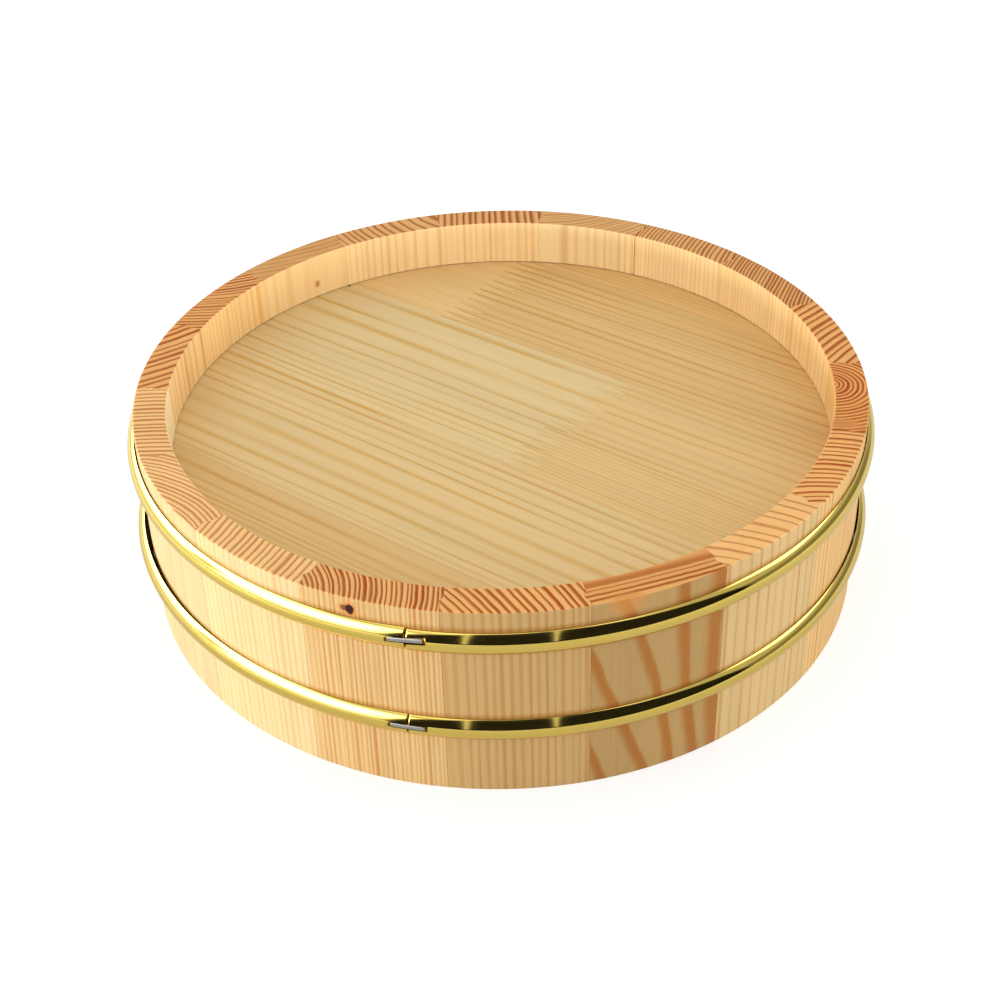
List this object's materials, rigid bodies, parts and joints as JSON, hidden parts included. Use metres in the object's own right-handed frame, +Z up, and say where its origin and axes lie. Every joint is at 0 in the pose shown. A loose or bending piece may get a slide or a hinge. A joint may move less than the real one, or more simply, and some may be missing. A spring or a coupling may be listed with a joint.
{
  "type": "wooden rice tub",
  "caption": "Shallow round wooden tub for steamed rice: upright softwood staves held by half-round brass hoops, with a raised glued-up board inside.",
  "frame": {"origin": "on the floor, on the tub's upright axis", "axes": "+Z up along the tub's axis; -Y is the side nearest the viewer of the picture and +X is its right side"},
  "size_m": [0.3414, 0.3382, 0.094],
  "materials": {
    "stave_wood": "bare planed softwood",
    "board_wood": "bare planed softwood",
    "hoop_brass": "polished",
    "key_steel": "filed flush"
  },
  "bodies": {
    "root": {"stave_01": "stave_wood", "stave_02": "stave_wood", "stave_03": "stave_wood", "stave_04": "stave_wood", "stave_05": "stave_wood", "stave_06": "stave_wood", "stave_07": "stave_wood", "stave_08": "stave_wood", "stave_09": "stave_wood", "stave_10": "stave_wood", "stave_11": "stave_wood", "stave_12": "stave_wood", "stave_13": "stave_wood", "stave_14": "stave_wood", "stave_15": "stave_wood", "stave_16": "stave_wood", "stave_17": "stave_wood", "stave_18": "stave_wood", "board_strip_1": "board_wood", "board_strip_2": "board_wood", "board_strip_3_left": "board_wood", "board_strip_3_right": "board_wood", "board_strip_4_left": "board_wood", "board_strip_4_right": "board_wood", "board_strip_5": "board_wood", "hoop_upper": "hoop_brass", "hoop_lower": "hoop_brass", "hoop_key_upper": "key_steel", "hoop_key_lower": "key_steel"}
  },
  "joints": []
}
